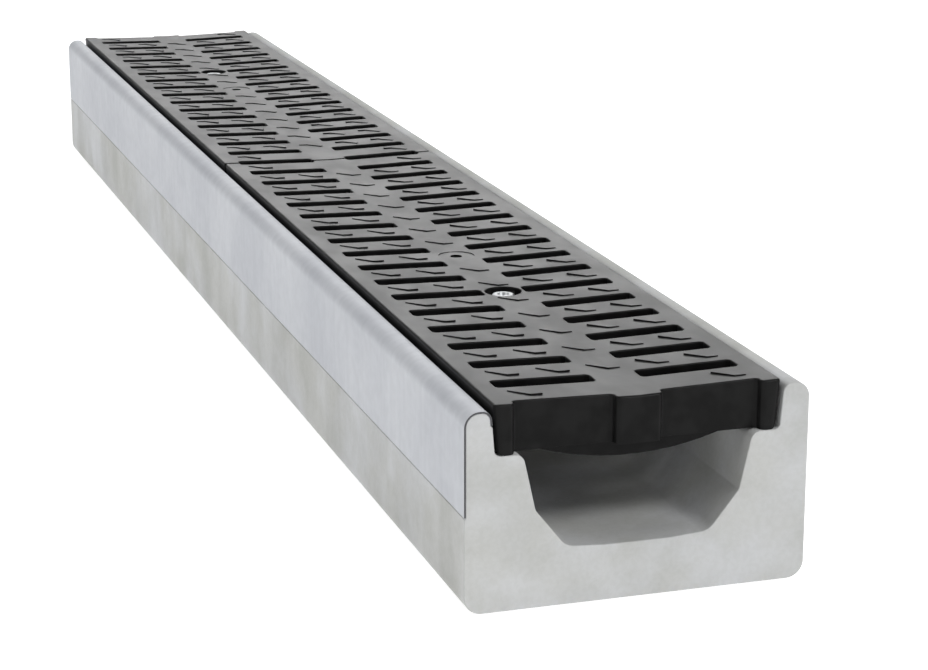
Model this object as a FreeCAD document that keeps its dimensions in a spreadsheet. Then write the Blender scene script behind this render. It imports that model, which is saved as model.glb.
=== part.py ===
"""A one metre surface drainage channel of cast fibre concrete with two slotted plastic gratings.

The channel runs along Y. X is across it and Z is up. The origin is on the ground under the
middle of the channel. All sizes are in millimetres.
"""
import FreeCAD, Part
import math
import os
from types import SimpleNamespace

import Sketcher

Vector = FreeCAD.Vector

DRIVING_SIZES = [
    # Cast channel
    ("channel_length", 1000.0, "end face to end face"),
    ("channel_width", 150.0, "outer side to outer side"),
    ("channel_height", 86.0, "ground to the tops of the walls"),
    ("duct_width", 100.0, "clear width just under the shelves"),
    ("duct_crease_width", 89.0, "clear width where the walls turn towards the floor"),
    ("duct_crease_level", 42.0, "height of that turn"),
    ("duct_floor_width", 62.6, "width of the floor before its corners are rounded"),
    ("duct_floor_level", 24.2, "thickness of the base under the middle of the floor"),
    ("duct_floor_fall", 1.2, "fall of the floor from its corners to the level strip"),
    ("duct_strip_width", 28.0, "level strip along the middle of the floor"),
    ("foot_radius", 7.5, "outer bottom corners"),
    ("wall_outer_radius", 6.5, "outer corners of the wall tops"),
    ("wall_inner_radius", 4.3, "inner corners of the wall tops"),
    ("rebate_foot_radius", 2.5, "corner between a shelf and its rebate wall"),
    ("shelf_edge_radius", 4.5, "inner edge of a shelf"),
    ("crease_radius", 12.0, "turn of the duct wall"),
    ("floor_corner_radius", 8.0, "corner between duct wall and floor"),
    # Steel rail on the left wall
    ("rail_thickness", 0.8, "sheet thickness"),
    ("rail_skirt", 44.0, "drop of the sheet down the outer side"),
    ("rail_lip", 2.0, "straight drop of the sheet past the inner corner"),
    ("rail_seam", 0.5, "open joint under both lower edges of the sheet"),
    ("claw_count", 5.0, "anchor claws along the rail"),
    ("claw_width", 30.0, "along the channel"),
    ("claw_reach", 8.0, "into the concrete"),
    # Gratings
    ("grate_width", 125.0, "across the top"),
    ("grate_foot_width", 121.5, "across the seat"),
    ("grate_depth", 21.5, "seat to top edge"),
    ("grate_proud", 2.0, "top edge above the walls of the channel"),
    ("grate_dish", 1.5, "fall of the top towards the centre line"),
    ("grate_clearance", 1.2, "gap between a grating and the rebate walls"),
    ("grate_joint", 0.6, "gap between the two gratings, and twice the gap at each end"),
    ("grate_edge_radius", 1.2, "top and upright edges"),
    ("grate_seat_radius", 3.0, "lower long edges"),
    ("deck_thickness", 6.0, "deck at the centre line"),
    ("side_wall", 6.0, "long walls of the grating"),
    ("end_wall", 4.0, "wall behind an end recess"),
    ("cross_rib", 6.0, "arched rib under each bar"),
    ("belly_depth", 8.5, "reach of the arched ribs below the seat"),
    ("belly_clearance", 4.0, "gap between the arched ribs and the duct walls"),
    # Slots and anti-slip marks
    ("slot_pitches", 17.0, "slot pitches in one grating"),
    ("slot_width", 10.0, "along the channel"),
    ("slot_length", 43.2, "across the channel"),
    ("slot_corner", 1.2, "cut corners of a slot"),
    ("centre_strip", 20.4, "bare strip between the two rows of slots"),
    ("mark_spacing", 22.3, "columns of marks across the grating"),
    ("mark_slant", 7.6, "slanted run of a mark, across and along"),
    ("mark_tail", 5.2, "straight end of a mark"),
    ("mark_width", 1.8, "width of the raised line"),
    ("mark_height", 0.6, "relief of the raised line"),
    # Bolt and its seat
    ("bolt_slot_index", 6.0, "slot row that the bolt is in, from the channel end"),
    ("bolt_diameter", 6.0, "shank"),
    ("bolt_head_width", 10.0, "across flats"),
    ("bolt_head_height", 4.0, "seat to top"),
    ("bolt_head_sink", 0.5, "head top below the deck"),
    ("bolt_tail", 3.0, "reach of the bolt past its nut"),
    ("bolt_recess_radius", 8.5, "round pocket around the head"),
    ("bolt_hole_clearance", 0.5, "radial gap of the bolt in the grating"),
    ("boss_width", 20.0, "square boss under the pocket"),
    ("boss_floor", 10.0, "material under the head"),
    # Locking bar in the channel
    ("bar_bite", 2.0, "reach of each end of the bar past the clear width of the duct"),
    ("bar_width", 24.0, "along the channel"),
    ("bar_thickness", 4.0, "plate"),
    ("bar_corner", 4.0, "cut corners of the plate"),
    ("bar_headroom", 4.0, "gap between the bar and the arched ribs"),
    ("nut_width", 10.0, "welded nut under the plate, across flats"),
    ("nut_depth", 5.0, "height of the nut"),
    ("thread_clearance", 0.05, "radial gap between bolt and nut"),
    ("pocket_end_gap", 2.0, "room past each end of the bar"),
    ("pocket_side_gap", 4.0, "room beside the bar"),
    ("pocket_floor_gap", 4.0, "room under the bar"),
]


class Size:
    """A number together with the spreadsheet formula that gives it."""

    def __init__(self, value, formula):
        self.value = value
        self.formula = formula

    @staticmethod
    def parts(other):
        if isinstance(other, Size):
            return other.value, other.formula
        return float(other), repr(float(other))

    def __add__(self, other):
        value, formula = Size.parts(other)
        return Size(self.value + value, f"({self.formula} + {formula})")

    def __sub__(self, other):
        value, formula = Size.parts(other)
        return Size(self.value - value, f"({self.formula} - {formula})")

    def __mul__(self, other):
        value, formula = Size.parts(other)
        return Size(self.value * value, f"({self.formula} * {formula})")

    def __truediv__(self, other):
        value, formula = Size.parts(other)
        return Size(self.value / value, f"({self.formula} / {formula})")

    def __neg__(self):
        return Size(-self.value, f"(0 - {self.formula})")


doc = FreeCAD.newDocument("ChannelDrain")
sheet = doc.addObject("Spreadsheet::Sheet", "Sizes")
for row, (alias, number, meaning) in enumerate(DRIVING_SIZES, start=1):
    sheet.set(f"A{row}", str(number))
    sheet.setAlias(f"A{row}", alias)
    sheet.set(f"B{row}", meaning)
doc.recompute()
s = SimpleNamespace(
    **{alias: Size(number, f"Sizes.{alias}") for alias, number, _ in DRIVING_SIZES}
)
ZERO = s.channel_length * 0

# Places worked out from the driving sizes
half_length = s.channel_length / 2
half_width = s.channel_width / 2
slot_pitch = half_length / s.slot_pitches
grate_level = s.channel_height + s.grate_proud
shelf_level = grate_level - s.grate_depth
deck_level = grate_level - s.grate_dish
deck_underside = deck_level - s.deck_thickness
half_grate = s.grate_width / 2
half_foot = s.grate_foot_width / 2
grate_lean = (half_grate - half_foot) / s.grate_depth
rebate_foot = half_foot + s.grate_clearance
rebate_top = rebate_foot + grate_lean * (s.channel_height - shelf_level)
lip_level = s.channel_height - s.wall_inner_radius - s.rail_lip
bolt_station = half_length - s.bolt_slot_index * slot_pitch
bolt_seat = deck_level - s.bolt_head_sink - s.bolt_head_height
bar_level = shelf_level - s.belly_depth - s.bar_headroom
half_bar = s.duct_width / 2 + s.bar_bite
nut_end = bar_level - s.bar_thickness - s.nut_depth
bolt_length = bolt_seat - nut_end + s.bolt_tail


def rebate_side(level):
    """Distance of a rebate wall from the centre line at a level."""
    return rebate_foot + grate_lean * (level - shelf_level)


def bind(thing, property_name, size):
    """Set a property from a size and keep it tied to the spreadsheet."""
    thing.setExpression(property_name, size.formula)


def new_body(label):
    body = doc.addObject("PartDesign::Body", label)
    body.Label = label
    return body


def origin_feature(body, role):
    for feature in body.Origin.OriginFeatures:
        if feature.Role == role:
            return feature
    raise RuntimeError(f"{body.Label} has no {role}")


def new_sketch(body, name, plane, offset=None):
    """An empty sketch on one of the body's own origin planes, moved along its normal."""
    sketch = body.newObject("Sketcher::SketchObject", name)
    sketch.AttachmentSupport = [(origin_feature(body, plane), "")]
    sketch.MapMode = "FlatFace"
    if offset is not None:
        bind(sketch, "AttachmentOffset.Base.z", offset)
    return sketch


def tie(sketch, kind, geometry, point, size):
    """Fix one coordinate of a point, measured from the sketch origin."""
    index = sketch.addConstraint(
        Sketcher.Constraint(kind, -1, 1, geometry, point, size.value)
    )
    name = f"tie{index}"
    sketch.renameConstraint(index, name)
    bind(sketch, f"Constraints.{name}", size)


def add_outline(sketch, points):
    """A closed outline of straight lines through points given as pairs of sizes."""
    first = sketch.GeometryCount
    count = len(points)
    corners = [Vector(x.value, y.value, 0) for x, y in points]
    for i in range(count):
        sketch.addGeometry(Part.LineSegment(corners[i], corners[(i + 1) % count]))
    for i in range(count):
        following = first + (i + 1) % count
        sketch.addConstraint(
            Sketcher.Constraint("Coincident", first + i, 2, following, 1)
        )
    for i, (x, y) in enumerate(points):
        tie(sketch, "DistanceX", first + i, 1, x)
        tie(sketch, "DistanceY", first + i, 1, y)


def add_rectangle(sketch, left, right, low, high):
    add_outline(sketch, [(left, low), (right, low), (right, high), (left, high)])


def add_circle(sketch, x, y, radius):
    circle = sketch.addGeometry(
        Part.Circle(Vector(x.value, y.value, 0), Vector(0, 0, 1), radius.value)
    )
    tie(sketch, "DistanceX", circle, 3, x)
    tie(sketch, "DistanceY", circle, 3, y)
    index = sketch.addConstraint(Sketcher.Constraint("Radius", circle, radius.value))
    sketch.renameConstraint(index, f"radius{index}")
    bind(sketch, f"Constraints.radius{index}", radius)


def pad(body, name, sketch, length, both_ways=False, downwards=False):
    feature = body.newObject("PartDesign::Pad", name)
    feature.Profile = sketch
    feature.Midplane = both_ways
    feature.Reversed = downwards
    bind(feature, "Length", length)
    return feature


def pocket(body, name, sketch, length, both_ways=False, upwards=False):
    feature = body.newObject("PartDesign::Pocket", name)
    feature.Profile = sketch
    feature.Midplane = both_ways
    feature.Reversed = upwards
    bind(feature, "Length", length)
    return feature


def repeat_along(body, name, feature, count, spacing):
    """Repeat a feature along the channel."""
    pattern = body.newObject("PartDesign::LinearPattern", name)
    pattern.Originals = [feature]
    pattern.Direction = (origin_feature(body, "Y_Axis"), [""])
    pattern.Mode = "Spacing"
    bind(pattern, "Offset", spacing)
    bind(pattern, "Occurrences", count)
    body.Tip = pattern
    return pattern


def round_edges(body, name, base, radius, wanted):
    """Round the edges whose middle lies where wanted says."""
    doc.recompute([base])
    names = [
        f"Edge{number}"
        for number, edge in enumerate(base.Shape.Edges, start=1)
        if wanted(edge.valueAt((edge.FirstParameter + edge.LastParameter) / 2))
    ]
    if not names:
        raise RuntimeError(f"{body.Label}: {name} found no edges")
    feature = body.newObject("PartDesign::Fillet", name)
    feature.Base = (base, names)
    bind(feature, "Radius", radius)
    body.Tip = feature
    return feature


def along_at(*places):
    """Picks lines along the channel that pass through the given x and z."""
    spots = [(x.value, z.value) for x, z in places]

    def wanted(middle):
        return abs(middle.y) < 1 and any(
            math.hypot(middle.x - x, middle.z - z) < 0.01 for x, z in spots
        )

    return wanted


def both_sides(x, z):
    return [(x, z), (-x, z)]


# Channel body: one casting, drawn as its section and run along its length
def make_channel():
    body = new_body("channel_body")
    section = new_sketch(body, "channel_section", "XZ_Plane")
    right = [
        (half_width, ZERO),
        (half_width, s.channel_height),
        (rebate_top, s.channel_height),
        (rebate_foot, shelf_level),
        (s.duct_width / 2, shelf_level),
        (s.duct_crease_width / 2, s.duct_crease_level),
        (s.duct_floor_width / 2, s.duct_floor_level + s.duct_floor_fall),
        (s.duct_strip_width / 2, s.duct_floor_level),
    ]
    left = [(-x, z) for x, z in reversed(right)]
    add_outline(section, right + left)
    solid = pad(body, "channel_run", section, s.channel_length, both_ways=True)

    solid = round_edges(body, "rounded_feet", solid, s.foot_radius,
                        along_at(*both_sides(half_width, ZERO)))
    solid = round_edges(body, "rounded_wall_top", solid, s.wall_outer_radius,
                        along_at((half_width, s.channel_height)))
    solid = round_edges(body, "rounded_inner_top", solid, s.wall_inner_radius,
                        along_at((rebate_top, s.channel_height)))
    solid = round_edges(body, "rebate_fillets", solid, s.rebate_foot_radius,
                        along_at(*both_sides(rebate_foot, shelf_level)))
    solid = round_edges(body, "rounded_shelf_edges", solid, s.shelf_edge_radius,
                        along_at(*both_sides(s.duct_width / 2, shelf_level)))
    solid = round_edges(body, "rounded_creases", solid, s.crease_radius,
                        along_at(*both_sides(s.duct_crease_width / 2, s.duct_crease_level)))
    solid = round_edges(body, "floor_fillets", solid, s.floor_corner_radius,
                        along_at(*both_sides(s.duct_floor_width / 2,
                                             s.duct_floor_level + s.duct_floor_fall)))

    # The left wall is cast against the rail, so it is thinner there by the sheet
    bed_side, bed_top, bed_lip = rail_inside
    bed_foot = s.channel_height - s.rail_skirt - s.rail_seam
    lip_foot = lip_level - s.rail_seam
    bed = new_sketch(body, "rail_bed_section", "XZ_Plane")
    add_outline(bed, [
        (-half_width - 1, bed_foot),
        (bed_side, bed_foot),
        (bed_side, bed_top),
        (bed_lip, bed_top),
        (-rebate_side(lip_foot) - s.rail_thickness, lip_foot),
        (-half_foot, lip_foot),
        (-half_foot, s.channel_height + 1),
        (-half_width - 1, s.channel_height + 1),
    ])
    pocket(body, "rail_bed", bed, s.channel_length + 2, both_ways=True)
    solid = round_edges(body, "rounded_rail_bed", body.Tip,
                        s.wall_outer_radius - s.rail_thickness,
                        along_at((bed_side, bed_top)))
    solid = round_edges(body, "rounded_lip_bed", solid,
                        s.wall_inner_radius - s.rail_thickness,
                        along_at((bed_lip, bed_top)))
    claws = new_sketch(body, "claw_slot_plan", "XY_Plane", claw_level)
    add_claw(claws)
    slot = pocket(body, "claw_slot", claws, s.rail_thickness, upwards=True)
    repeat_along(body, "claw_slots", slot, s.claw_count, claw_spacing)

    # Pockets in both duct walls hold the ends of the locking bars
    pockets = new_sketch(body, "bar_pocket_plan", "XY_Plane", bar_level)
    reach = half_bar + s.pocket_end_gap
    half_gap = s.bar_width / 2 + s.pocket_side_gap
    for station in (bolt_station, -bolt_station):
        add_rectangle(pockets, -reach, reach, station - half_gap, station + half_gap)
    pocket(body, "bar_pockets", pockets, s.bar_thickness + s.pocket_floor_gap)
    return body


# Edge rail: galvanised sheet bent over the left wall, cast on and held by claws
claw_level = s.channel_height - s.rail_skirt
claw_spacing = s.channel_length / s.claw_count
rail_underside = s.channel_height - s.rail_thickness
rail_inside = (s.rail_thickness - half_width, rail_underside,
               -rebate_side(rail_underside) - s.rail_thickness)


def add_claw(sketch):
    first = (claw_spacing - s.channel_length) / 2
    add_rectangle(sketch, -half_width, s.claw_reach + s.rail_thickness - half_width,
                  first - s.claw_width / 2, first + s.claw_width / 2)


def make_rail():
    body = new_body("edge_rail")
    section = new_sketch(body, "rail_section", "XZ_Plane")
    inside, underside, inside_lip = rail_inside
    add_outline(section, [
        (-half_width, claw_level),
        (inside, claw_level),
        (inside, underside),
        (inside_lip, underside),
        (-rebate_side(lip_level) - s.rail_thickness, lip_level),
        (-rebate_side(lip_level), lip_level),
        (-rebate_top, s.channel_height),
        (-half_width, s.channel_height),
    ])
    solid = pad(body, "rail_run", section, s.channel_length, both_ways=True)
    solid = round_edges(body, "outer_bend", solid, s.wall_outer_radius,
                        along_at((-half_width, s.channel_height)))
    solid = round_edges(body, "outer_bend_inside", solid,
                        s.wall_outer_radius - s.rail_thickness, along_at((inside, underside)))
    solid = round_edges(body, "lip_bend", solid, s.wall_inner_radius,
                        along_at((-rebate_top, s.channel_height)))
    solid = round_edges(body, "lip_bend_inside", solid,
                        s.wall_inner_radius - s.rail_thickness, along_at((inside_lip, underside)))
    claws = new_sketch(body, "claw_plan", "XY_Plane", claw_level)
    add_claw(claws)
    claw = pad(body, "claw", claws, s.rail_thickness)
    repeat_along(body, "claws", claw, s.claw_count, claw_spacing)
    return body


# Grating: one moulding, drawn for the near half and turned round for the far half
def surface_level(x):
    """Height of the dished top at a distance x from the centre line."""
    return deck_level + s.grate_dish * x / half_grate


def add_slot(sketch, side, middle):
    """One slot with cut corners; side is 1 for the right row and -1 for the left."""
    near_x = s.centre_strip / 2
    far_x = near_x + s.slot_length
    half_slot = s.slot_width / 2
    low = middle - half_slot
    high = middle + half_slot
    cut = s.slot_corner
    corners = [
        (near_x + cut, low), (far_x - cut, low), (far_x, low + cut), (far_x, high - cut),
        (far_x - cut, high), (near_x + cut, high), (near_x, high - cut), (near_x, low + cut),
    ]
    add_outline(sketch, [(x * side, y) for x, y in corners])


def add_mark(sketch, column, middle):
    """A raised line that slants towards the near right and ends straight across."""
    slope = math.sqrt(0.5)
    bend = math.tan(math.radians(22.5))
    start_x = column - (s.mark_slant + s.mark_tail) / 2
    near_y = middle - s.mark_slant / 2
    turn_x = start_x + s.mark_slant
    end_x = turn_x + s.mark_tail
    add_outline(sketch, [
        (start_x, near_y + s.mark_slant),
        (turn_x, near_y),
        (end_x, near_y),
        (end_x, near_y + s.mark_width),
        (turn_x + s.mark_width * bend, near_y + s.mark_width),
        (start_x + s.mark_width * slope, near_y + s.mark_slant + s.mark_width * slope),
    ])


def make_grate(label):
    body = new_body(label)
    outer_end = s.grate_joint / 2 - half_length
    inner_end = -s.grate_joint / 2
    middle = (outer_end + inner_end) / 2

    section = new_sketch(body, f"{label}_section", "XZ_Plane", -middle)
    add_outline(section, [
        (half_foot, shelf_level),
        (half_grate, grate_level),
        (ZERO, deck_level),
        (-half_grate, grate_level),
        (-half_foot, shelf_level),
    ])
    solid = pad(body, f"{label}_block", section, inner_end - outer_end, both_ways=True)

    def on_long_edge(spots):
        def wanted(point):
            return abs(point.y - middle.value) < 1 and any(
                math.hypot(abs(point.x) - x.value, point.z - z.value) < 0.01
                for x, z in spots
            )
        return wanted

    def upright_or_end(point):
        at_end = min(abs(point.y - outer_end.value), abs(point.y - inner_end.value)) < 0.01
        return at_end and point.z > shelf_level.value + 1

    solid = round_edges(body, f"{label}_seat_edges", solid, s.grate_seat_radius,
                        on_long_edge([(half_foot, shelf_level)]))
    solid = round_edges(body, f"{label}_top_edges", solid, s.grate_edge_radius,
                        on_long_edge([(half_grate, grate_level)]))

    # The underside is cored out, which leaves the deck and the walls around it
    core = new_sketch(body, f"{label}_core_plan", "XY_Plane", shelf_level)
    inset = s.slot_width / 2 + s.end_wall
    core_side = half_foot - s.side_wall
    add_rectangle(core, -core_side, core_side, inset - half_length, -inset)
    pocket(body, f"{label}_core", core, deck_underside - shelf_level, upwards=True)

    # Under each bar stands a rib with an arched belly that hangs into the duct
    half_belly = s.duct_width / 2 - s.belly_clearance
    rib_end = half_foot - s.side_wall / 2
    rib = new_sketch(body, f"{label}_rib_section", "XZ_Plane", half_length - slot_pitch / 2)
    add_belly_rib(rib, rib_end, half_belly)
    ribs = pad(body, f"{label}_rib", rib, s.cross_rib, both_ways=True)
    repeat_along(body, f"{label}_ribs", ribs, s.slot_pitches, slot_pitch)

    # Two rows of slots; the first and last are halves, which makes the lugs at the ends
    slots = new_sketch(body, f"{label}_slot_plan", "XY_Plane", grate_level)
    for side in (1, -1):
        add_slot(slots, side, -half_length)
    slot = pocket(body, f"{label}_slot", slots, s.grate_depth)
    repeat_along(body, f"{label}_slots", slot, s.slot_pitches + 1, slot_pitch)

    # Bolt seat: a square boss under the deck, a round pocket and a clearance hole
    boss = new_sketch(body, f"{label}_boss_plan", "XY_Plane", bolt_seat - s.boss_floor)
    half_boss = s.boss_width / 2
    add_rectangle(boss, -half_boss, half_boss, -bolt_station - half_boss,
                  half_boss - bolt_station)
    pad(body, f"{label}_boss", boss, s.boss_floor + s.bolt_head_height / 2)
    seat = new_sketch(body, f"{label}_seat_plan", "XY_Plane", bolt_seat)
    add_circle(seat, ZERO, -bolt_station, s.bolt_recess_radius)
    pocket(body, f"{label}_seat", seat, s.grate_depth, upwards=True)
    hole = new_sketch(body, f"{label}_hole_plan", "XY_Plane", bolt_seat)
    add_circle(hole, ZERO, -bolt_station, s.bolt_diameter / 2 + s.bolt_hole_clearance)
    pocket(body, f"{label}_hole", hole, s.grate_depth)

    # Anti-slip marks: columns, the bar they start on and how many bars they cover
    bars = s.slot_pitches
    half_bars = (bars - 1) / 2
    runs = [
        ("outer_marks", s.mark_spacing * 2, (1, -1), ZERO, bars),
        ("inner_marks", s.mark_spacing, (1, -1), ZERO + 1, bars - 2),
        ("near_centre_marks", ZERO, (1,), ZERO + 1, half_bars - 1),
        ("far_centre_marks", ZERO, (1,), half_bars + 1, half_bars - 1),
    ]
    for name, column, sides, first, count in runs:
        level = surface_level(column) + s.mark_height
        plan = new_sketch(body, f"{label}_{name}_plan", "XY_Plane", level)
        for side in sides:
            add_mark(plan, column * side, (first + 0.5) * slot_pitch - half_length)
        raised = pad(body, f"{label}_{name}_first", plan, s.mark_height * 2, downwards=True)
        repeat_along(body, f"{label}_{name}", raised, count, slot_pitch)
    return body


def add_belly_rib(sketch, rib_end, half_belly):
    """Section of a cross rib: flat over the shelves, with an arc between them."""
    seat = shelf_level
    top = deck_underside + s.deck_thickness / 2
    lowest = shelf_level - s.belly_depth
    first = sketch.GeometryCount
    ends = [(half_belly, seat), (rib_end, seat), (rib_end, top),
            (-rib_end, top), (-rib_end, seat), (-half_belly, seat)]
    for start, end in zip(ends, ends[1:]):
        sketch.addGeometry(Part.LineSegment(
            Vector(start[0].value, start[1].value, 0), Vector(end[0].value, end[1].value, 0)))
    arc = sketch.addGeometry(Part.Arc(
        Vector(-half_belly.value, seat.value, 0), Vector(0, lowest.value, 0),
        Vector(half_belly.value, seat.value, 0)))
    lines = len(ends) - 1
    for i in range(lines - 1):
        sketch.addConstraint(Sketcher.Constraint("Coincident", first + i, 2, first + i + 1, 1))
    sketch.addConstraint(Sketcher.Constraint("Coincident", first + lines - 1, 2, arc, 1))
    sketch.addConstraint(Sketcher.Constraint("Coincident", arc, 2, first, 1))
    for i in range(lines):
        tie(sketch, "DistanceX", first + i, 1, ends[i][0])
        tie(sketch, "DistanceY", first + i, 1, ends[i][1])
    tie(sketch, "DistanceX", first + lines - 1, 2, ends[-1][0])
    tie(sketch, "DistanceY", first + lines - 1, 2, ends[-1][1])
    radius = (half_belly * half_belly + s.belly_depth * s.belly_depth) / (s.belly_depth * 2)
    index = sketch.addConstraint(Sketcher.Constraint("Radius", arc, radius.value))
    sketch.renameConstraint(index, "belly_radius")
    bind(sketch, "Constraints.belly_radius", radius)


def add_hexagon(sketch, across_flats):
    """A hexagon with two of its corners on the X axis."""
    corner = across_flats / math.sqrt(3)
    flat = across_flats / 2
    half = corner / 2
    add_outline(sketch, [(corner, ZERO), (half, flat), (-half, flat),
                         (-corner, ZERO), (-half, -flat), (half, -flat)])


# Bolt: hexagon head on a plain shank, drawn about its own axis with its seat at zero
def make_bolt(label):
    body = new_body(label)
    head = new_sketch(body, f"{label}_head_plan", "XY_Plane")
    add_hexagon(head, s.bolt_head_width)
    pad(body, f"{label}_head", head, s.bolt_head_height)
    shank = new_sketch(body, f"{label}_shank_plan", "XY_Plane")
    add_circle(shank, ZERO, ZERO, s.bolt_diameter / 2)
    pad(body, f"{label}_shank", shank, bolt_length, downwards=True)
    return body


# Locking bar: stamped steel plate with a nut welded under it, its top face at zero
def make_bar(label):
    body = new_body(label)
    plan = new_sketch(body, f"{label}_plan", "XY_Plane")
    side_y = s.bar_width / 2
    near_x = half_bar - s.bar_corner
    near_y = side_y - s.bar_corner
    add_outline(plan, [
        (near_x, -side_y), (half_bar, -near_y), (half_bar, near_y), (near_x, side_y),
        (-near_x, side_y), (-half_bar, near_y), (-half_bar, -near_y), (-near_x, -side_y),
    ])
    pad(body, f"{label}_plate", plan, s.bar_thickness, downwards=True)
    nut = new_sketch(body, f"{label}_nut_plan", "XY_Plane", -s.bar_thickness)
    add_hexagon(nut, s.nut_width)
    pad(body, f"{label}_nut", nut, s.nut_depth, downwards=True)
    thread = new_sketch(body, f"{label}_thread_plan", "XY_Plane")
    add_circle(thread, ZERO, ZERO, s.bolt_diameter / 2 + s.thread_clearance)
    pocket(body, f"{label}_thread", thread, (s.bar_thickness + s.nut_depth) * 2,
           both_ways=True)
    return body


def place(body, station, level):
    """Put a piece at its station along the channel and at its level."""
    bind(body, "Placement.Base.y", station)
    bind(body, "Placement.Base.z", level)
    return body


def turned_round(body, label):
    """The same piece again, turned half round its own upright axis."""
    twin = new_body(label)
    twin.BaseFeature = body
    twin.Placement = FreeCAD.Placement(Vector(), FreeCAD.Rotation(Vector(0, 0, 1), 180))
    return twin


grate = make_grate("grate_front")
bolt = make_bolt("bolt_front")
bar = make_bar("locking_bar_front")
made = [
    make_channel(),
    make_rail(),
    grate,
    turned_round(grate, "grate_rear"),
    place(bolt, -bolt_station, bolt_seat),
    place(turned_round(bolt, "bolt_rear"), bolt_station, bolt_seat),
    place(bar, -bolt_station, bar_level),
    place(turned_round(bar, "locking_bar_rear"), bolt_station, bar_level),
]

doc.recompute()

for thing in doc.Objects:
    if "Invalid" in thing.State or "Error" in thing.State:
        raise RuntimeError(f"{thing.Label} failed: {thing.State}")
os.makedirs("parts", exist_ok=True)
for body in made:
    shape = body.Shape
    if shape.isNull() or not shape.isValid() or len(shape.Solids) != 1:
        raise RuntimeError(f"{body.Label} is not one sound solid")
for body in made:
    body.Shape.exportStep(f"parts/{body.Label}.step")
    box = body.Shape.BoundBox
    print(f"{body.Label}: {body.Shape.Volume / 1000:.1f} cm3, x {box.XMin:.2f} {box.XMax:.2f},"
          f" y {box.YMin:.2f} {box.YMax:.2f}, z {box.ZMin:.2f} {box.ZMax:.2f}")
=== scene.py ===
"""A surface drainage channel: cast concrete body, galvanised edge rail and slotted gratings."""
import math

import bmesh
import bpy
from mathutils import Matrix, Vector


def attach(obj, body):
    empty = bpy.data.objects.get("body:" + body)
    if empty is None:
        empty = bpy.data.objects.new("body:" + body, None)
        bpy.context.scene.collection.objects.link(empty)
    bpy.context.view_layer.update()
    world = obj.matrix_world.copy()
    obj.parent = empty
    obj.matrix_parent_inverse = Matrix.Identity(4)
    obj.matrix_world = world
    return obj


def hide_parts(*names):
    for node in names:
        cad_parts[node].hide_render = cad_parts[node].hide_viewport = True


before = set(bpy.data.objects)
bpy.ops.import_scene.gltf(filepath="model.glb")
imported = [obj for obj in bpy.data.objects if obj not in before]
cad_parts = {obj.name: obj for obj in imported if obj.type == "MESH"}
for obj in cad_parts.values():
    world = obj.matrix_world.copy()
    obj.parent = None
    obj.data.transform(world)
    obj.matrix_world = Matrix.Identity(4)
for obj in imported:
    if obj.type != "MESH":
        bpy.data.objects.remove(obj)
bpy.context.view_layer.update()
bpy.ops.object.select_all(action="DESELECT")


# Channel body. One casting of fibre concrete, poured into a steel mould with its top down, so
# the outside is smooth and cloudy. The arrises of its ends are worn off by handling, and the
# duct has pockets in its walls for the locking bars.
concrete_arris = 0.0005
duct_turns = ((-0.0445, 0.042), (0.0445, 0.042))
rounding_reach = 0.003
weld_distance = 0.000005
flat_angle = math.radians(0.6)
smooth_angle = math.radians(35)


def take_up(piece):
    """Makes a piece the only one selected, and the active one."""
    bpy.ops.object.select_all(action="DESELECT")
    bpy.context.view_layer.objects.active = piece
    piece.select_set(True)


def copy_of_solid(node, name, whole_faces=True):
    """A copy of a solid to work on, its labels off and its loose triangles sewn together, if
    wanted into whole flat faces."""
    take_up(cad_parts[node])
    bpy.ops.object.duplicate()
    piece = bpy.context.object
    piece.name = name
    piece.data.name = name
    for label in list(piece.keys()):
        del piece[label]
    piece.data.materials.clear()
    bpy.ops.object.mode_set(mode="EDIT")
    bpy.ops.mesh.select_all(action="SELECT")
    bpy.ops.mesh.remove_doubles(threshold=weld_distance)
    if whole_faces:
        bpy.ops.mesh.dissolve_limited(angle_limit=flat_angle)
    bpy.ops.object.mode_set(mode="OBJECT")
    return piece


def work_on(piece):
    """Opens a piece for work on the edges of its mesh, with nothing selected."""
    take_up(piece)
    bpy.ops.object.mode_set(mode="EDIT")
    bpy.ops.mesh.select_mode(type="EDGE")
    bpy.ops.mesh.select_all(action="DESELECT")
    return bmesh.from_edit_mesh(piece.data)


def sharpen(piece, spots):
    """Undoes the solid's rounding at spots given as x and z: all that is near goes on to them."""
    work = work_on(piece)
    for corner in work.verts:
        for x, z in spots:
            if max(abs(corner.co.x - x), abs(corner.co.z - z)) < rounding_reach:
                corner.co.x, corner.co.z = x, z
    bmesh.update_edit_mesh(piece.data)
    bpy.ops.mesh.select_all(action="SELECT")
    bpy.ops.mesh.remove_doubles(threshold=weld_distance)
    bpy.ops.mesh.dissolve_degenerate(threshold=weld_distance)
    bpy.ops.object.mode_set(mode="OBJECT")


def round_by_share(piece, width, rounds, share_of):
    """Rounds each edge by its share of a width; share_of is given the edge and its turn."""
    mesh = piece.data
    shares = mesh.attributes.new("bevel_weight_edge", "FLOAT", "EDGE")
    work = bmesh.new()
    work.from_mesh(mesh)
    for number, edge in enumerate(work.edges):
        if len(edge.link_faces) == 2:
            shares.data[number].value = share_of(edge, math.degrees(edge.calc_face_angle()))
    work.free()
    take_up(piece)
    bpy.ops.object.modifier_add(type="BEVEL")
    bevel = piece.modifiers[-1]
    bevel.width = width
    bevel.segments = rounds
    bevel.limit_method = "WEIGHT"
    bevel.use_clamp_overlap = False
    bevel.miter_outer = "MITER_ARC"
    bpy.ops.object.modifier_apply(modifier=bevel.name)
    mesh.attributes.remove(mesh.attributes["bevel_weight_edge"])


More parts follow.
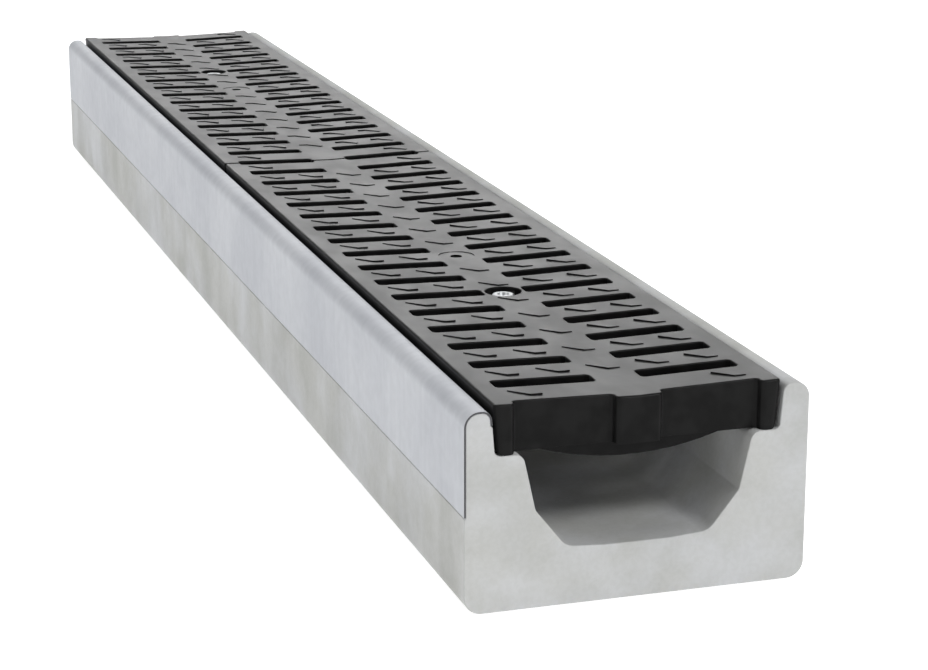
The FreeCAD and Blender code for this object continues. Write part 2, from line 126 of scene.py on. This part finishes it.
def shade_evenly(piece):
    """Smooth shading that leaves the large faces flat."""
    take_up(piece)
    bpy.ops.object.shade_smooth_by_angle(angle=smooth_angle)
    bpy.ops.object.modifier_add(type="WEIGHTED_NORMAL")
    weighted = piece.modifiers[-1]
    weighted.keep_sharp = True
    bpy.ops.object.modifier_apply(modifier=weighted.name)


def soften_edges(piece, width, sharper_than):
    """Rounds off every edge sharper than an angle, then shades the piece smooth."""
    round_by_share(piece, width, 2, lambda edge, turn: float(turn > sharper_than))
    shade_evenly(piece)


def new_finish(name, colour, roughness, metallic=0.0, specular=0.5):
    """A material with its plain values set, and its nodes for more."""
    finish = bpy.data.materials.new(name)
    finish.use_nodes = True
    shader = finish.node_tree.nodes["Principled BSDF"]
    shader.inputs["Base Color"].default_value = (*colour, 1)
    shader.inputs["Roughness"].default_value = roughness
    shader.inputs["Metallic"].default_value = metallic
    shader.inputs["Specular IOR Level"].default_value = specular
    return finish, finish.node_tree, shader


def clouds(tree, per_metre, detail, stretch=(1, 1, 1), start=(0, 0, 0)):
    """Noise over the piece, so many patches to the metre; gives its grey output."""
    place = tree.nodes.new("ShaderNodeTexCoord")
    mapping = tree.nodes.new("ShaderNodeMapping")
    mapping.inputs["Location"].default_value = start
    mapping.inputs["Scale"].default_value = stretch
    noise = tree.nodes.new("ShaderNodeTexNoise")
    noise.inputs["Scale"].default_value = per_metre
    noise.inputs["Detail"].default_value = detail
    noise.inputs["Roughness"].default_value = 0.55
    tree.links.new(place.outputs["Object"], mapping.inputs["Vector"])
    tree.links.new(mapping.outputs["Vector"], noise.inputs["Vector"])
    return noise.outputs["Fac"]


def shade_between(tree, grey, low, high, low_colour, high_colour):
    """Turns a grey into a colour that goes from one shade to another."""
    ramp = tree.nodes.new("ShaderNodeValToRGB")
    ramp.color_ramp.interpolation = "EASE"
    ramp.color_ramp.elements[0].position = low
    ramp.color_ramp.elements[1].position = high
    ramp.color_ramp.elements[0].color = (*low_colour, 1)
    ramp.color_ramp.elements[1].color = (*high_colour, 1)
    tree.links.new(grey, ramp.inputs["Fac"])
    return ramp.outputs["Color"]


def darken_by(tree, colour, shade, share=1.0):
    """Darkens a colour by a shade, fully or in part."""
    mix = tree.nodes.new("ShaderNodeMix")
    mix.data_type = "RGBA"
    mix.blend_type = "MULTIPLY"
    mix.inputs["Factor"].default_value = share
    tree.links.new(colour, mix.inputs["A"])
    tree.links.new(shade, mix.inputs["B"])
    return mix.outputs["Result"]


def roughen(tree, shader, grey, height):
    """A fine relief of the given height in metres."""
    bump = tree.nodes.new("ShaderNodeBump")
    bump.inputs["Strength"].default_value = 1.0
    bump.inputs["Distance"].default_value = height
    tree.links.new(grey, bump.inputs["Height"])
    tree.links.new(bump.outputs["Normal"], shader.inputs["Normal"])


cast_concrete, tree, shader = new_finish(
    "cast_concrete", (0.56, 0.56, 0.54), roughness=0.85, specular=0.25)
tones = shade_between(tree, clouds(tree, 16, 4), 0.36, 0.66,
                      (0.515, 0.52, 0.51), (0.575, 0.585, 0.60))
stains = shade_between(tree, clouds(tree, 30, 6, start=(3.1, 0.7, 1.9)), 0.38, 0.62,
                       (0.86, 0.86, 0.84), (1.0, 1.0, 1.0))
bands = shade_between(tree, clouds(tree, 9, 3, stretch=(0.6, 3.0, 0.5), start=(0.4, 2.2, 0)),
                      0.35, 0.65, (0.91, 0.91, 0.905), (1.0, 1.0, 1.0))
dust = shade_between(tree, clouds(tree, 420, 2), 0.40, 0.60,
                     (0.965, 0.965, 0.96), (1.0, 1.0, 1.0))
colour = darken_by(tree, tones, stains, share=0.7)
colour = darken_by(tree, colour, bands)
colour = darken_by(tree, colour, dust)
tree.links.new(colour, shader.inputs["Base Color"])
roughen(tree, shader, clouds(tree, 600, 3), 0.00008)

channel = copy_of_solid("channel_body", "concrete_channel", whole_faces=False)
sharpen(channel, duct_turns)
bpy.ops.object.mode_set(mode="EDIT")
bpy.ops.mesh.select_all(action="SELECT")
bpy.ops.mesh.dissolve_limited(angle_limit=flat_angle)
bpy.ops.object.mode_set(mode="OBJECT")
soften_edges(channel, concrete_arris, sharper_than=24)
channel.data.materials.append(cast_concrete)
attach(channel, "channel")
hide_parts("channel_body")


# Edge rail. Galvanised steel sheet, bent over the left wall and cast in with it. The sheet was
# cut to length with shears; its end faces are painted near black: bare steel plus painted shade.
channel_end = 0.5
sheet_edge = 0.00012

galvanised_sheet, tree, shader = new_finish(
    "galvanised_sheet", (0.50, 0.52, 0.55), roughness=0.6, metallic=0.1)
haze = shade_between(tree, clouds(tree, 14, 5, start=(0, 1.3, 0)), 0.34, 0.68,
                     (0.475, 0.49, 0.525), (0.545, 0.56, 0.59))
streaks = shade_between(tree, clouds(tree, 60, 5, stretch=(0.3, 5.0, 0.25)), 0.30, 0.70,
                        (0.955, 0.96, 0.965), (1.0, 1.0, 1.0))
spangle = shade_between(tree, clouds(tree, 160, 4), 0.35, 0.65,
                        (0.95, 0.95, 0.95), (1.0, 1.0, 1.0))
colour = darken_by(tree, haze, streaks)
colour = darken_by(tree, colour, spangle)
tree.links.new(colour, shader.inputs["Base Color"])
roughen(tree, shader, clouds(tree, 60, 2, stretch=(0.3, 5.0, 0.25)), 0.00003)

# Near-black finish for the sheet's end faces: bare cut steel, darkened further as painted shade
# of the gap there.
cut_steel_painted_shade = new_finish("cut_steel_painted_shade", (0.07, 0.07, 0.075), roughness=0.6, metallic=0.3)[0]

rail = copy_of_solid("edge_rail", "sheet_edge_rail")
soften_edges(rail, sheet_edge, sharper_than=50)
rail.data.materials.append(galvanised_sheet)
rail.data.materials.append(cut_steel_painted_shade)
# The end faces get the near-black finish, which is partly bare steel and partly painted shade.
for face in rail.data.polygons:
    if abs(face.normal.y) > 0.9 and abs(abs(face.center.y) - channel_end) < 0.0001:
        face.material_index = 1
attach(rail, "channel")
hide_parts("edge_rail")


# Locking bars. Two stamped steel plates with a nut welded underneath, galvanised as a whole.
# They lie across the duct in its pockets, and the bolts pull them up.
plate_edge = 0.0004

galvanised_plate, tree, shader = new_finish(
    "galvanised_plate", (0.50, 0.52, 0.54), roughness=0.5, metallic=0.85)
spangle = shade_between(tree, clouds(tree, 150, 3), 0.35, 0.65,
                        (0.42, 0.44, 0.46), (0.56, 0.58, 0.6))
tree.links.new(spangle, shader.inputs["Base Color"])

for end in ("front", "rear"):
    bar = copy_of_solid(f"locking_bar_{end}", f"{end}_locking_bar")
    soften_edges(bar, plate_edge, sharper_than=35)
    bar.data.materials.append(galvanised_plate)
    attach(bar, "channel")
    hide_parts(f"locking_bar_{end}")


# Gratings. Two mouldings of black glass filled plastic that lie on the shelves. Every edge is
# rounded as the mould leaves it, most at the lugs, and halfway along the middle strip there is
# the shallow round mark where the plastic went in.
grate_half_width = 0.0625
grate_top = 0.088
foot_half_width = 0.06075
seat_level = 0.0665
deck_level = 0.0865
dish = 0.0015
slot_pitches = 17
slot_pitch = channel_end / slot_pitches
slots_half_width = 0.0545
slot_corner_turn = 45
slot_corner_round = 0.0005
slot_rim_round = 0.0007
mark_columns = (-0.0446, -0.0223, 0.0, 0.0223, 0.0446)
mark_wear = 0.00010
mark_round = 0.0002
end_gap = 0.0004
recess_depth = 0.005
lug_height = 0.008
rim_level = 0.08
top_edge_round = 0.00133
seat_edge_round = 0.00277
lug_corner_round = 0.0026
end_rim_round = 0.0013
recess_rim_round = 0.0009
recess_corner_round = 0.0006
moulded_edge = 0.00015
gate_station = 0.25
gate_radius = 0.009
gate_floor = 0.08634
gate_pip_radius = 0.0029
gate_pip_floor = 0.0855
hair = 0.0001

moulded_plastic, tree, shader = new_finish(
    "moulded_black_plastic", (0.008, 0.008, 0.008), roughness=0.31, specular=0.08)
grain = shade_between(tree, clouds(tree, 90, 2), 0.35, 0.65,
                      (0.006, 0.006, 0.006), (0.010, 0.010, 0.010))
tree.links.new(grain, shader.inputs["Base Color"])
sheen = shade_between(tree, clouds(tree, 60, 2, stretch=(1, 0.5, 1)), 0.30, 0.70,
                      (0.285, 0.285, 0.285), (0.345, 0.345, 0.345))
tree.links.new(sheen, shader.inputs["Roughness"])
roughen(tree, shader, clouds(tree, 110, 2), 0.00002)


def part_into_cells(piece, side):
    """Lines across each slot and along each column of marks part the big faces, so that every
    edge can be rounded by itself."""
    work_on(piece)
    cuts = [((column, 0, 0), (1, 0, 0)) for column in mark_columns]
    cuts += [((0, side * row * slot_pitch, 0), (0, 1, 0)) for row in range(1, slot_pitches)]
    for place, normal in cuts:
        bpy.ops.mesh.select_all(action="SELECT")
        bpy.ops.mesh.bisect(plane_co=place, plane_no=normal, threshold=0.000002)
        bpy.ops.mesh.mark_seam()
    bpy.ops.mesh.select_all(action="SELECT")
    bpy.ops.mesh.dissolve_limited(angle_limit=flat_angle, delimit={"SEAM"})
    bpy.ops.mesh.select_all(action="SELECT")
    bpy.ops.mesh.mark_seam(clear=True)
    bpy.ops.object.mode_set(mode="OBJECT")


def above_deck(corner):
    """How far a corner stands above the dished deck."""
    return corner.co.z - deck_level - dish * abs(corner.co.x) / grate_half_width


def wear_marks(piece):
    """Takes the raised marks down a little, as they leave a worn mould."""
    for corner in piece.data.vertices:
        if above_deck(corner) > 3 * hair:
            corner.co.z -= mark_wear


def lower_first(edge):
    """The two ends of an edge, the lower one first."""
    return sorted((edge.verts[0].co, edge.verts[1].co), key=lambda point: point.z)


def round_slot_corners(piece):
    """Rounds the upright corners of the slots."""
    work = work_on(piece)
    for edge in work.edges:
        low, high = lower_first(edge)
        upright = abs(high.x - low.x) + abs(high.y - low.y) < hair / 2 and high.z - low.z > 0.003
        if upright and len(edge.link_faces) == 2 and abs(low.x) < slots_half_width:
            turn = math.degrees(edge.calc_face_angle())
            edge.select_set(abs(turn - slot_corner_turn) < 5)
    bmesh.update_edit_mesh(piece.data)
    bpy.ops.mesh.bevel(offset=slot_corner_round, segments=2, affect="EDGES", clamp_overlap=False)
    bpy.ops.object.mode_set(mode="OBJECT")


def from_end(point):
    """How far a point is from the nearer end of its grating."""
    return min(abs(point.y), channel_end - abs(point.y))


def outline_share(edge, turn):
    """The share of the seat's rounding that an edge at the sides and ends of a grating gets."""
    low, high = points = lower_first(edge)
    upright = high.z - low.z > lug_height
    on_rim = low.z > rim_level
    if turn < 40:
        width = 0.0
    elif not upright and all(abs(abs(point.x) - grate_half_width) < hair for point in points):
        width = top_edge_round
    elif not upright and all(abs(abs(point.x) - foot_half_width) < hair for point in points):
        width = seat_edge_round
    elif all(from_end(point) < end_gap for point in points):
        width = lug_corner_round if upright else end_rim_round if on_rim else 0.0
    elif all(from_end(point) < recess_depth + hair for point in points):
        width = recess_corner_round if upright else recess_rim_round if on_rim else 0.0
    else:
        width = 0.0
    return width / seat_edge_round


def moulded_share(edge, turn):
    """The share of the slots' rim rounding that an edge left sharp so far gets."""
    if turn < 30 or not edge.is_convex:
        return 0.0
    if any(math.hypot(point.x, abs(point.y) - gate_station) < gate_radius + 5 * hair
           for point in lower_first(edge)):
        return moulded_edge / slot_rim_round
    heights = [above_deck(corner) for corner in edge.verts]
    if min(heights) < -hair / 2:
        return moulded_edge / slot_rim_round
    if max(heights) > 1.5 * hair:
        return mark_round / slot_rim_round
    return 1.0


def combine(piece, tool, how):
    """Cuts a tool out of a piece, or keeps what both share, and puts the tool away."""
    take_up(piece)
    bpy.ops.object.modifier_add(type="BOOLEAN")
    cut = piece.modifiers[-1]
    cut.operation = how
    cut.object = tool
    bpy.ops.object.modifier_apply(modifier=cut.name)
    take_up(tool)
    bpy.ops.object.delete()
    take_up(piece)


def sink_round(piece, station, radius, level):
    """Sinks a round hollow into the top, down to a level."""
    height = 0.01
    bpy.ops.object.select_all(action="DESELECT")
    bpy.ops.mesh.primitive_cylinder_add(vertices=48, radius=radius, depth=height,
                                        location=(0, station, level + height / 2))
    combine(piece, bpy.context.object, "DIFFERENCE")


for end, side in (("front", -1), ("rear", 1)):
    grate = copy_of_solid(f"grate_{end}", f"{end}_grating", whole_faces=False)
    sharpen(grate, [(hand * grate_half_width, grate_top) for hand in (-1, 1)]
            + [(hand * foot_half_width, seat_level) for hand in (-1, 1)])
    part_into_cells(grate, side)
    wear_marks(grate)
    round_slot_corners(grate)
    round_by_share(grate, seat_edge_round, 4, outline_share)
    sink_round(grate, side * gate_station, gate_radius, gate_floor)
    sink_round(grate, side * gate_station, gate_pip_radius, gate_pip_floor)
    round_by_share(grate, slot_rim_round, 3, moulded_share)
    shade_evenly(grate)
    grate.data.materials.append(moulded_plastic)
    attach(grate, f"{end}_grating")
    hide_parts(f"grate_{end}")


# Bolts. One M6 hexagon bolt in each grating, with a hollow stamped into its head, a rolled
# thread and bright zinc plate. It reaches down through the grating into the nut of the bar.
bolt_station = 0.3235294
head_seat = 0.082
head_top = 0.0853
head_across_flats = 0.010
head_corner_radius = head_across_flats / math.sqrt(3)
head_face_radius = 0.0046
head_edge = 0.00010
chamfer_radius = head_corner_radius + 0.002
chamfer_drop = (chamfer_radius - head_face_radius) * math.tan(math.radians(30))
chamfer_skirt = 0.006
hollow_radius = 0.0030
hollow_foot_radius = 0.0018
hollow_depth = 0.0016
shank_radius = 0.00295
shank_edge = 0.0004
thread_core_radius = 0.00246
thread_pitch = 0.001
thread_turns = 24
bolt_tip = 0.042
thread_top = bolt_tip + (thread_turns - 1.5) * thread_pitch

zinc_plate, tree, shader = new_finish(
    "bright_zinc_plate", (0.42, 0.43, 0.44), roughness=0.45, metallic=1.0)
roughen(tree, shader, clouds(tree, 900, 2), 0.00001)


def turned(name, radius, low, high, station, faces=48, low_radius=None):
    """A round bar or cone on the bolt's axis between two levels."""
    bpy.ops.object.select_all(action="DESELECT")
    bpy.ops.mesh.primitive_cone_add(
        vertices=faces, radius1=radius if low_radius is None else low_radius, radius2=radius,
        depth=high - low, location=(0, station, (high + low) / 2))
    piece = bpy.context.object
    piece.name = name
    bpy.ops.object.transform_apply(location=True, rotation=True, scale=True)
    return piece


def thread(station):
    """A pointed ridge wound up round the bolt, cut level and closed at both ends."""
    bpy.ops.object.select_all(action="DESELECT")
    bpy.ops.mesh.primitive_circle_add(
        vertices=4, radius=thread_pitch / 2, rotation=(math.radians(90), 0, 0),
        location=(thread_core_radius, 0, thread_pitch / 2))
    ridge = bpy.context.object
    ridge.name = "thread"
    ridge.scale.x = (shank_radius - thread_core_radius) / (thread_pitch / 2)
    bpy.ops.object.transform_apply(location=True, rotation=True, scale=True)
    work = work_on(ridge)
    for edge in work.edges:
        inner = min(corner.co.x for corner in edge.verts) < thread_core_radius - hair
        edge.select_set(inner)
    bmesh.update_edit_mesh(ridge.data)
    bpy.ops.mesh.delete(type="EDGE")
    bpy.ops.object.mode_set(mode="OBJECT")
    bpy.ops.object.modifier_add(type="SCREW")
    winding = ridge.modifiers[-1]
    winding.steps = 24
    winding.render_steps = 24
    winding.screw_offset = thread_pitch
    winding.iterations = thread_turns
    bpy.ops.object.modifier_apply(modifier=winding.name)
    ridge.location = (0, station, bolt_tip - thread_pitch)
    bpy.ops.object.transform_apply(location=True, rotation=True, scale=True)
    bpy.ops.object.mode_set(mode="EDIT")
    bpy.ops.mesh.select_all(action="SELECT")
    bpy.ops.mesh.remove_doubles(threshold=0.00001)
    for level, outwards in ((bolt_tip, -1), (thread_top, 1)):
        bpy.ops.mesh.select_all(action="SELECT")
        bpy.ops.mesh.bisect(plane_co=(0, station, level), plane_no=(0, 0, outwards),
                            clear_outer=True, use_fill=True, threshold=0.000001)
    bpy.ops.mesh.select_all(action="SELECT")
    bpy.ops.mesh.normals_make_consistent(inside=False)
    bpy.ops.object.mode_set(mode="OBJECT")
    return ridge


for end, station in (("front", -bolt_station), ("rear", bolt_station)):
    bolt = turned(f"{end}_hexagon_bolt", head_corner_radius, head_seat, head_top, station, 6)
    work_on(bolt)
    bpy.ops.mesh.select_all(action="SELECT")
    bpy.ops.transform.rotate(value=math.radians(30), orient_axis="Z",
                             center_override=(0, station, head_seat))
    bpy.ops.object.mode_set(mode="OBJECT")
    cone = turned("chamfer", head_face_radius, head_top - chamfer_drop, head_top, station, 96,
                  low_radius=chamfer_radius)
    work = work_on(cone)
    for face in work.faces:
        if face.normal.z < -0.9:
            face.select_set(True)
    bmesh.update_edit_mesh(cone.data)
    bpy.ops.mesh.extrude_region_move(TRANSFORM_OT_translate={"value": (0, 0, -chamfer_skirt)})
    bpy.ops.object.mode_set(mode="OBJECT")
    combine(bolt, cone, "INTERSECT")
    hollow = turned("hollow", hollow_radius, head_top - hollow_depth, head_top + 0.0002, station,
                    low_radius=hollow_foot_radius)
    combine(bolt, hollow, "DIFFERENCE")
    soften_edges(bolt, head_edge, sharper_than=25)

    threaded = thread(station)
    plain = turned("plain_shank", shank_radius, thread_top - thread_pitch, head_seat + 0.0005,
                   station)
    soften_edges(plain, shank_edge, sharper_than=60)
    take_up(bolt)
    threaded.select_set(True)
    plain.select_set(True)
    bpy.ops.object.join()
    bolt.data.materials.append(zinc_plate)
    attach(bolt, f"{end}_bolt")
    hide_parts(f"bolt_{end}")


# Studio. The channel lies on a wide table of white acrylic lit from below, so it throws hardly
# any shadow, and is seen from its near left and from above, through a long lens. Two big white
# lamps stand far behind it, which the black gratings mirror at a low angle.
lens_length = 97.4
camera_place = (-0.3610, -1.4049, 0.3818)
camera_pitch = math.radians(15.52)
camera_heading = math.radians(17.54)
table_level = -0.0003

bpy.ops.object.camera_add(
    location=camera_place,
    rotation=(math.radians(90) - camera_pitch, 0, -camera_heading),
)
camera = bpy.context.object
camera.name = "studio_camera"
camera.data.lens = lens_length
camera.data.clip_start = 0.05
camera.data.clip_end = 60
scene = bpy.context.scene
scene.camera = camera
scene.view_settings.view_transform = "Standard"

world = bpy.data.worlds.new("studio_surroundings")
scene.world = world
world.use_nodes = True
surroundings = world.node_tree.nodes["Background"]
surroundings.inputs["Color"].default_value = (1.0, 1.0, 1.0, 1)
surroundings.inputs["Strength"].default_value = 0.30

bpy.ops.mesh.primitive_plane_add(size=30, location=(0, 0, table_level))
table = bpy.context.object
table.name = "studio_table"
white_acrylic, tree, shader = new_finish(
    "studio_white_acrylic", (0.86, 0.86, 0.86), roughness=0.9, specular=0.1)
shader.inputs["Emission Color"].default_value = (1.0, 1.0, 1.0, 1)
shader.inputs["Emission Strength"].default_value = 0.56
table.data.materials.append(white_acrylic)


def add_softbox(name, place, aim, width, height, power):
    """A large rectangular lamp at a place, turned towards a point."""
    bpy.ops.object.light_add(type="AREA", location=place)
    lamp = bpy.context.object
    lamp.name = name
    lamp.data.shape = "RECTANGLE"
    lamp.data.size = width
    lamp.data.size_y = height
    lamp.data.energy = power
    lamp.rotation_euler = (Vector(aim) - Vector(place)).to_track_quat("-Z", "Y").to_euler()


add_softbox("softbox_front", (1.6, -2.6, 2.6), (0, -0.4, 0.04), 1.2, 0.9, 60)
add_softbox("softbox_low_front", (0.9, -3.6, 0.55), (0, -0.4, 0.05), 1.0, 0.6, 7)
add_softbox("softbox_left", (-2.7, 0.3, 2.3), (0, 0.1, 0.05), 2.6, 1.6, 36)
add_softbox("softbox_back", (1.9, 5.5, 1.65), (0, 0, 0.08), 5.0, 0.45, 54)
add_softbox("softbox_high_back", (1.2, 4.5, 3.2), (0, 0, 0.08), 3.0, 1.6, 48)
add_softbox("softbox_top", (0.3, 0.1, 3.0), (0.1, 0, 0), 2.5, 2.5, 12)
